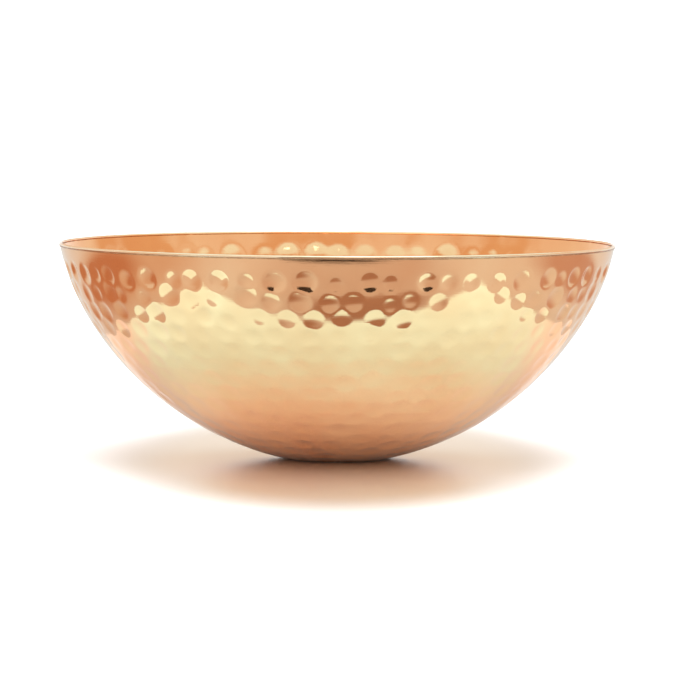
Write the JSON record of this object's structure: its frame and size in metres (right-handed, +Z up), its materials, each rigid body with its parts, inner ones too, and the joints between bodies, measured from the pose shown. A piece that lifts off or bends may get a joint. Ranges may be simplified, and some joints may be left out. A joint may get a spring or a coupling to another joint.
{
  "type": "hammered copper bowl",
  "caption": "Round open bowl of hammered, mirror-polished copper sheet, with a leaning wall, rounded bottom, small flat base and a fine wire along the rim.",
  "frame": {"origin": "centre of the flat underside, on the surface that the bowl rests on", "axes": "+Z up along the axis that the bowl is turned about, from the flat base to the mouth; X and Y are interchangeable"},
  "size_m": [0.3, 0.3, 0.1165],
  "materials": {
    "hammered_copper": null,
    "bright_copper": null
  },
  "bodies": {
    "root": {"bowl_shell": "hammered_copper", "rim_wire": "bright_copper"}
  },
  "joints": []
}
